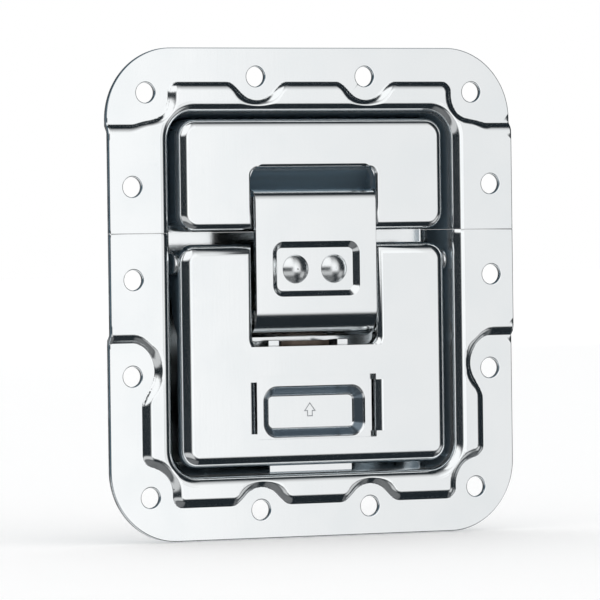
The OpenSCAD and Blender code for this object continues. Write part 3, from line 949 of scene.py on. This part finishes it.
@dataclass
class CaseHalf:
    """Lower half of the dish, with the slot for the release tongue."""

    form: PressedPlate
    seam: float = 13.98
    slot_half: float = 11.0
    slot_low: float = -2.6
    slot_high: float = -0.8
    slot_reach: float = 3.0

    def build(self) -> bpy.types.Object:
        """Builds the half.

        Returns:
            The piece.
        """
        made = self.form.half("case_half", self.seam, upper=False)
        middle, near, far = -self.form.dish.half_y, self.slot_low, self.slot_high
        low, high = middle - self.slot_reach, middle + self.slot_reach
        ends = [(low, near), (high, near), (high, far), (low, far)]
        combine(made, prism("slot", np.array(ends), self.slot_half), Work.CUT)
        shade(made, 40)
        return made

    def dress(self, made: bpy.types.Object, finish: bpy.types.Material, edge: bpy.types.Material) -> None:
        """Gives the half its finish and its body."""
        fit(made, finish, edge, "plates", "lower_dish")


@dataclass
class LidHalf:
    """Upper half of the dish, with the keeper boss that the hook grips."""

    form: PressedPlate
    seam: float = 14.02
    rest: float = 14.15
    boss: RoundRect = RoundRect(33.7, 12.825, 4.2, 26.975)
    face: float = 2.3
    edge: float = 2.1
    channel: float = 15.9
    channel_edge: float = 0.7
    saddle: float = 1.5
    ridge: float = 22.0
    trough_z: float = -3.6
    trough_end: float = 29.6
    trough_foot: float = 1.2
    trough_brim: float = 1.0
    trough_corner: float = 3.8
    brim_corner: float = 1.5
    over: float = 1.0

    def rolled(self, name: str, inset: float, low: float) -> bpy.types.Object:
        """The boss, or the same form moved inward.

        Args:
            name: Name of the object.
            inset: How far each face is moved in.
            low: Bottom of the block.

        Returns:
            The closed solid.
        """
        roll, top = self.edge - inset, self.face - inset
        edge = np.concatenate([[[0, low]], arc((-roll, top - roll), roll, 0, 90, 10)])
        return block(name, self.boss.grown(-inset), edge)

    def saddle_block(self, grow: float) -> bpy.types.Object:
        """Room of the hook across the edge of the boss.

        Args:
            grow: How far each face is moved outward.

        Returns:
            The closed solid.
        """
        y0, y1 = self.rest - self.over - 2 * grow, self.ridge + self.trough_foot / 2
        z0, z1 = self.saddle - grow, self.face + 2 * self.over
        return prism("saddle", np.array([(y0, z0), (y1, z0), (y1, z1), (y0, z1)]), self.channel + grow)

    def trough_block(self, grow: float) -> bpy.types.Object:
        """Room of the hook's lip and of a finger behind it.

        Args:
            grow: How far each face is moved outward.

        Returns:
            The closed solid.
        """
        foot = (self.ridge + self.trough_foot, self.trough_z)
        climb = (self.trough_end - foot[0], self.face - foot[1])
        turn = 2 * math.degrees(math.atan2(climb[1], climb[0]))
        sweep = climb[0] / math.sin(math.radians(turn)) - self.trough_brim + grow
        high, brim = self.face + self.over, max(self.trough_brim - grow, 0.05)
        outline = np.concatenate([
            [(self.trough_end + grow, high), (self.ridge - grow, high)],
            arc((foot[0], foot[1] + self.trough_foot), self.trough_foot + grow, 180, 270),
            arc((foot[0], foot[1] + sweep - grow), sweep, -90, turn - 90)[1:],
            arc((self.trough_end, self.face - self.trough_brim), brim, turn + 90, 90)[1:],
        ])
        made = prism("trough", outline, self.channel + grow)
        low, top = self.rest - self.over - 2 * grow, self.trough_end + grow + 0.02
        plan = RoundRect(self.channel + grow, (top - low) / 2, self.trough_corner + grow, (top + low) / 2)
        room = block("room", plan, np.array([(0.0, self.trough_z - grow - 1), (0.0, high + 1)]))
        return combine(made, room, Work.MEET)

    def brim_block(self) -> bpy.types.Object:
        """Rolled brim along the sides of the channel.

        Returns:
            The closed solid.
        """
        low = self.rest - 2 * self.over
        reach = self.trough_end - 1.2 * self.trough_brim - low
        r = self.channel_edge
        edge = np.concatenate([arc((r, self.face - r), r, 180, 90, 8), [[r, self.face + self.over]]])
        return block("brim", RoundRect(self.channel, reach / 2, self.brim_corner, low + reach / 2), edge)

    def build(self) -> bpy.types.Object:
        """Builds the half.

        Returns:
            The piece.
        """
        made = self.form.half("lid_half", self.seam, upper=True)
        back = self.form.floor - self.form.sheet
        combine(made, self.rolled("boss", 0.0, self.form.floor - self.form.sheet / 2), Work.JOIN)
        hollow = self.rolled("hollow", self.form.sheet, back - self.over)
        combine(hollow, self.saddle_block(self.form.sheet), Work.CUT)
        combine(hollow, self.trough_block(self.form.sheet), Work.CUT)
        combine(made, hollow, Work.CUT)
        combine(made, self.saddle_block(0.0), Work.CUT)
        combine(made, self.trough_block(0.0), Work.CUT)
        combine(made, self.brim_block(), Work.CUT)
        shade(made, 40)
        return made

    def dress(self, made: bpy.types.Object, finish: bpy.types.Material, edge: bpy.types.Material) -> None:
        """Gives the half its finish and its body."""
        fit(made, finish, edge, "plates", "upper_dish")


@dataclass
class WorkedPart:
    """A part in the form of its solid, with its sharp edges broken."""

    name: str
    node: str
    body: str
    slot: Slot
    edge: float = 0.14
    sharp: float = 50.0

    def form(self, grid: bmesh.types.BMesh) -> None:
        """Works the form further, which a plain part doesn't need."""

    def build(self) -> bpy.types.Object:
        """Builds the part.

        Returns:
            The piece.
        """
        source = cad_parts[self.node]
        mesh = source.data.copy()
        mesh.transform(source.matrix_world)
        grid = bmesh.new()
        grid.from_mesh(mesh)
        bmesh.ops.remove_doubles(grid, verts=grid.verts, dist=1.0e-6)
        level = math.radians(0.2)
        bmesh.ops.dissolve_limit(grid, angle_limit=level, verts=grid.verts, edges=grid.edges)
        self.form(grid)
        grid.to_mesh(mesh)
        grid.free()
        made = add_object(self.name, mesh)
        step = made.modifiers.new("broken edge", "BEVEL")
        step.width = self.edge * MM
        step.segments = 2
        step.limit_method = "ANGLE"
        step.angle_limit = math.radians(self.sharp)
        step.use_clamp_overlap = True
        # The bevelled edges take the dark edge finish, which paints a shade line along them.
        step.material = 1
        mesh.materials.clear()
        for _ in range(2):
            mesh.materials.append(None)
        settle(made)
        shade(made, self.sharp, level=self.slot is Slot.ZINC, weight=50)
        return made

    def dress(self, made: bpy.types.Object, finish: bpy.types.Material, edge: bpy.types.Material) -> None:
        """Gives the part its finish and its body."""
        fit(made, finish, edge, self.body, self.node)


@dataclass
class DrawHook(WorkedPart):
    """The hook plate, with a full roll where it turns down behind the boss."""

    top: float = 23.6
    face: float = 3.1
    bend: float = 1.6
    roll: float = 2.6

    def form(self, grid: bmesh.types.BMesh) -> None:
        """Opens the bend at the top to the full roll.

        Args:
            grid: Mesh in the row frame, changed in place.
        """
        far = self.roll - self.bend
        for vertex in grid.verts:
            y = vertex.co.z / MM - self.top + self.bend
            z = -vertex.co.y / MM - self.face + self.bend
            if y > -1.0e-3 and z > -1.0e-3:
                reach = math.hypot(y, z)
                vertex.co.z += (far * y / reach - far) * MM
                vertex.co.y -= (far * z / reach - far) * MM


@dataclass
class RolledLever(WorkedPart):
    """The lever plate, with a full roll round its outline."""

    outline: RoundRect = field(default_factory=lambda: RoundRect(33.9, 25.4, 4.0, -14.1))
    face: float = 2.6
    bend: float = 2.0
    roll: float = 2.7
    near: float = 0.03

    def form(self, grid: bmesh.types.BMesh) -> None:
        """Opens the edge all round to the full roll.

        Args:
            grid: Mesh in the row frame, changed in place.
        """
        far = self.roll - self.bend
        at = np.array([(vertex.co.x, vertex.co.z) for vertex in grid.verts]) / MM
        step = 1.0e-3
        ways = np.eye(2) * step
        slope = [self.outline.depth(at + way) - self.outline.depth(at - way) for way in ways]
        inward = np.column_stack(slope) / (2 * step)
        out = self.bend - self.outline.depth(at)
        for vertex, across, way in zip(grid.verts, out, inward):
            up = -vertex.co.y / MM - self.face + self.bend
            reach = math.hypot(across, up)
            if min(across, up) > -self.near and abs(reach - self.bend) < self.near:
                push = (far - far * across / reach) * MM
                vertex.co.x += push * way[0]
                vertex.co.z += push * way[1]
                vertex.co.y += (far - far * up / reach) * MM


@dataclass
class ReleaseArrow:
    """Outlined arrow on the floor of the finger cup."""

    centre: tuple[float, float] = (-0.1, -26.8)
    floor: float = -1.2
    width: float = 3.1
    height: float = 3.3
    shaft: float = 1.45
    head: float = 2.1
    line: float = 0.24
    rise: float = 0.03
    flank: float = 0.05

    def outline(self, inset: float) -> Points:
        """Outline of the arrow.

        Args:
            inset: How far it is moved inward.

        Returns:
            Rows of x and y.
        """
        w, s = self.width / 2, self.shaft / 2
        top, bottom = self.height / 2, -self.height / 2
        neck = top - self.head
        lean = math.hypot(w, self.head)
        point = top - inset * lean / w
        barb = w - inset * (lean + w) / self.head
        side = s - inset
        right = [(side, bottom + inset), (side, neck + inset), (barb, neck + inset), (0.0, point)]
        left = [(-x, y) for x, y in reversed(right[:-1])]
        return np.array(right + left) + self.centre

    def build(self) -> bpy.types.Object:
        """Builds the line.

        Returns:
            The piece.
        """
        skin = Surface()
        rings = []
        edges = ((0.0, 0.0), (self.flank, self.rise), (self.line - self.flank, self.rise), (self.line, 0.0))
        for inset, z in edges:
            plan = self.outline(inset)
            rings.append(np.column_stack([plan, np.full(len(plan), self.floor + z)]))
        skin.loft(rings)
        return skin.piece("release_arrow")

    def dress(self, made: bpy.types.Object, finish: bpy.types.Material) -> None:
        """Gives the arrow its finish and its body.

        Args:
            made: The piece.
            finish: Its material.
        """
        made.data.materials.append(finish)
        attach(made, "slide_body")


@dataclass(frozen=True)
class Window:
    """An opening of the tent, by directions from the latch in degrees, each side with its soft width."""

    left: tuple[float, float]
    right: tuple[float, float]
    foot: tuple[float, float]
    head: tuple[float, float]
    share: float = 1.0

    def mask(self, turn: Signal, lift: Signal) -> Signal:
        """How far the tent is open.

        Args:
            turn: Direction to the right of straight ahead.
            lift: Direction above the horizon.

        Returns:
            The share in the opening, nought outside.
        """
        across = turn.rise(*self.left) * (1 - turn.rise(*self.right)) * self.share
        return across * (lift.rise(*self.foot) * (1 - lift.rise(*self.head)))


@dataclass
class DarkTent:
    """Dark cloth round the latch that draws its edges, open to the light in front and the backdrop behind."""

    radius: float = 2.0
    dark: Colour = (0.013, 0.018, 0.022)
    dusk: Colour = (0.10, 0.15, 0.185)
    windows: tuple[Window, ...] = (
        Window((-12.0, 6.0), (35.0, 48.0), (-22.0, -9.0), (12.0, 78.0)),
        Window((-118.0, -96.0), (0.0, 14.0), (-42.0, -29.0), (-14.0, -7.0), 0.56),
        Window((40.0, 50.0), (66.0, 84.0), (-42.0, -29.0), (-14.0, -7.0), 0.64),
        Window((-80.0, -66.0), (-2.0, 16.0), (4.0, 16.0), (58.0, 76.0)),
    )
    rear: tuple[float, float] = (0.84, 0.89)
    back_floor: tuple[float, float] = (0.4, 0.6)
    back_low: tuple[float, float] = (-14.0, -6.0)
    veil: float = 0.8
    low: tuple[float, float] = (-48.0, -36.0)
    low_share: float = 0.15
    strip: tuple[tuple[float, float], tuple[float, float]] = ((0.31, 0.36), (0.53, 0.6))
    side: tuple[float, float] = (0.05, 0.35)
    scrim: tuple[float, float] = (23.6, 27.0)
    shade: float = 0.17

    def cloth(self) -> bpy.types.Material:
        """Builds the cloth with its openings.

        Returns:
            The material.
        """
        made, graph, place = new_finish("dark_tent_cloth")
        way = graph.node("ShaderNodeVectorMath", {"operation": "NORMALIZE"}, {0: place})
        x, y, z = (graph.node("ShaderNodeSeparateXYZ", {}, {0: way}, axis) for axis in "XYZ")
        degrees = 180 / math.pi
        turn = graph.node("ShaderNodeMath", {"operation": "ARCTAN2"}, {0: x, 1: y * -1.0}) * degrees
        lift = graph.node("ShaderNodeMath", {"operation": "ARCSINE"}, {0: z}) * degrees
        gap: Any = 0.0
        for window in self.windows:
            gap = window.mask(turn, lift) | gap
        strip = x.rise(*self.strip[0]) * (1 - x.rise(*self.strip[1]))
        gap = (1 - lift.rise(*self.low)) * (1 - strip) * self.low_share | gap
        behind = y.rise(*self.rear) | y.rise(*self.back_floor) * (1 - lift.rise(*self.back_low))
        gap = gap * (1 - self.shade * turn.rise(*self.scrim)) | behind * self.veil
        colour = graph.mix(y.rise(*self.side), (*self.dark, 1.0), (*self.dusk, 1.0))
        glow = graph.node("ShaderNodeEmission", {}, {"Color": colour})
        clear = graph.node("ShaderNodeBsdfTransparent", {}, {})
        graph.surface("ShaderNodeMixShader", {0: gap, 1: glow, 2: clear})
        return made

    def build(self) -> bpy.types.Object:
        """Hangs the tent, which only reflections meet.

        Returns:
            The tent.
        """
        mesh = bpy.data.meshes.new("dark_tent")
        grid = bmesh.new()
        bmesh.ops.create_uvsphere(grid, u_segments=48, v_segments=24, radius=self.radius)
        grid.to_mesh(mesh)
        grid.free()
        mesh.materials.append(self.cloth())
        made = add_object("dark_tent", mesh)
        made.visible_camera = made.visible_diffuse = made.visible_shadow = False
        return made


@dataclass
class Studio:
    """Camera, backdrop, dark tent and floor."""

    yaw: float = 0.45937169
    pitch: float = 0.01328903
    roll: float = 0.01318187
    shift_x: float = 13.36498
    shift_y: float = 7.65014
    focal: float = 5705.982
    pixel: float = 0.22904
    panel_z: float = 1.2
    frame_px: float = 600.0
    sensor: float = 36.0
    floor_z: float = -0.0561
    floor_half: float = 6.0
    floor_pale: Colour = (0.93, 0.93, 0.93)
    floor_light: Colour = (0.95, 0.95, 0.95)
    tent: DarkTent = field(default_factory=DarkTent)

    def turned(self) -> Points:
        """Rotation from the panel frame to the camera's.

        Returns:
            Three rows of three.
        """
        cy, sy = math.cos(self.yaw), math.sin(self.yaw)
        cx, sx = math.cos(self.pitch), math.sin(self.pitch)
        cz, sz = math.cos(self.roll), math.sin(self.roll)
        about_y = np.array([[cy, 0, sy], [0, 1, 0], [-sy, 0, cy]])
        about_x = np.array([[1, 0, 0], [0, cx, -sx], [0, sx, cx]])
        about_z = np.array([[cz, -sz, 0], [sz, cz, 0], [0, 0, 1]])
        return about_z @ about_x @ about_y

    def camera(self) -> None:
        """Places the camera where the photograph was taken."""
        turn = self.turned()
        stand = turn.T @ np.array([-self.shift_x, -self.shift_y, self.focal]) * self.pixel
        stand[2] += self.panel_z
        axes = to_row(turn) / MM
        eye = to_row(stand[None, :])[0]
        data = bpy.data.cameras.new("camera")
        data.sensor_width = self.sensor
        data.lens = self.sensor * self.focal / self.frame_px
        data.clip_end = 20.0
        made = add_object("camera", data)
        made.matrix_world = Matrix(np.column_stack([axes.T, eye]).tolist() + [[0, 0, 0, 1]])
        bpy.context.scene.camera = made

    def world(self) -> None:
        """Makes the backdrop all round, white to the camera and to the metal alike."""
        made = bpy.data.worlds.new("white_backdrop")
        bpy.context.scene.world = made
        made.use_nodes = True
        made.cycles.sampling_method = "NONE"
        graph = Graph(made.node_tree)
        back = graph.node("ShaderNodeBackground", {}, {"Color": (1.0, 1.0, 1.0, 1.0), "Strength": 1.0})
        graph.node("ShaderNodeOutputWorld", {}, {"Surface": back})

    def floor(self) -> bpy.types.Object:
        """Lays the pale floor.

        Returns:
            The floor.
        """
        mesh = bpy.data.meshes.new("floor")
        h, z = self.floor_half, self.floor_z
        mesh.from_pydata([(-h, -h, z), (h, -h, z), (h, h, z), (-h, h, z)], [], [(0, 1, 2, 3)])
        made = add_object("floor", mesh)
        made.visible_glossy = False
        paint, graph, place = new_finish("pale_floor")
        colour = graph.mix(graph.noise(place, 40.0), (*self.floor_pale, 1.0), (*self.floor_light, 1.0))
        sockets = {"Base Color": colour, "Roughness": 0.9, "Emission Strength": 0.1}
        graph.surface("ShaderNodeBsdfPrincipled", sockets)
        mesh.materials.append(paint)
        return made

    def build(self) -> None:
        """Sets up the camera, the light and the floor."""
        self.camera()
        self.world()
        self.floor()
        self.tent.build()
        bpy.context.scene.view_settings.view_transform = "Standard"


def parts() -> list[WorkedPart]:
    """The parts that are worked from their solids, in the order of assembly.

    Returns:
        The parts.
    """
    return [
        RolledLever("lever_plate", "lever", "lever_body", Slot.ZINC, 0.2),
        DrawHook("draw_hook", "hook_plate", "hook_body", Slot.ZINC),
        WorkedPart("hook_backing_strap", "hook_strap", "hook_body", Slot.SPRING),
        WorkedPart("hook_rivet_pair", "hook_rivets", "hook_body", Slot.FITTING),
        WorkedPart("hook_hinge_pin", "hook_pin", "lever_body", Slot.FITTING),
        WorkedPart("finger_slide", "release_slide", "slide_body", Slot.ZINC),
        WorkedPart("slide_keeper", "slide_retainer", "lever_body", Slot.ZINC),
        WorkedPart("slide_return_spring", "slide_spring", "lever_body", Slot.SPRING, 0.02),
        WorkedPart("left_pivot_bracket", "pivot_bracket_left", "plates", Slot.ZINC),
        WorkedPart("right_pivot_bracket", "pivot_bracket_right", "plates", Slot.ZINC),
        WorkedPart("pivot_pin_pair", "pivot_pins", "plates", Slot.FITTING),
        WorkedPart("bracket_rivet_set", "bracket_rivets", "plates", Slot.FITTING),
        WorkedPart("lever_stop", "stop_bracket", "plates", Slot.ZINC),
        WorkedPart("lever_kick_spring", "kick_spring", "plates", Slot.SPRING, 0.02),
        WorkedPart("stop_rivet_set", "stop_rivets", "plates", Slot.FITTING),
    ]


def main() -> None:
    """Builds every piece in order, then the studio."""
    logging.basicConfig(level=logging.INFO, format="%(message)s")
    sheet = PlatedSheet().material()
    # The pressed halves carry painted shade down the walls of the dish, and the finger slide's cup carries
    # painted shade on its drawn walls.
    pressing = PlatedSheet("pressed_zinc_plating_with_painted_recess_shade", recess=0.95).material()
    cup = PlatedSheet(
        "drawn_cup_plating_with_painted_wall_shade",
        painted_shade_tint=(0.16, 0.205, 0.245),
        dull=0.3,
        recess=1.0,
        sunk=(-0.00095, -0.0006),
        back=(0.00075, 0.0011),
        mouth=(0.0135, 0.0068),
        middle=-0.02725,
    ).material()
    fitting = PlatedSheet("bright_zinc_fittings", roughness=0.2, spread=0.08).material()
    spring = SpringSteel().material()
    edge = CutEdge().material()
    finishes = {Slot.ZINC: sheet, Slot.FITTING: fitting, Slot.SPRING: spring}
    form = PressedPlate()
    for half in (CaseHalf(form), LidHalf(form)):
        made = half.build()
        half.dress(made, pressing, edge)
        LOG.info("%s: %d faces", made.name, len(made.data.polygons))
    for part in parts():
        made = part.build()
        finish = cup if part.node == "release_slide" else finishes[part.slot]
        part.dress(made, finish, spring if part.slot is Slot.SPRING else edge)
        if part.node == "slide_spring":
            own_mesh(made)
        LOG.info("%s: %d faces", made.name, len(made.data.polygons))
    arrow = ReleaseArrow()
    made = arrow.build()
    arrow.dress(made, StampedLine().material())
    LOG.info("%s: %d faces", made.name, len(made.data.polygons))
    Studio().build()


if __name__ == "__main__":
    main()
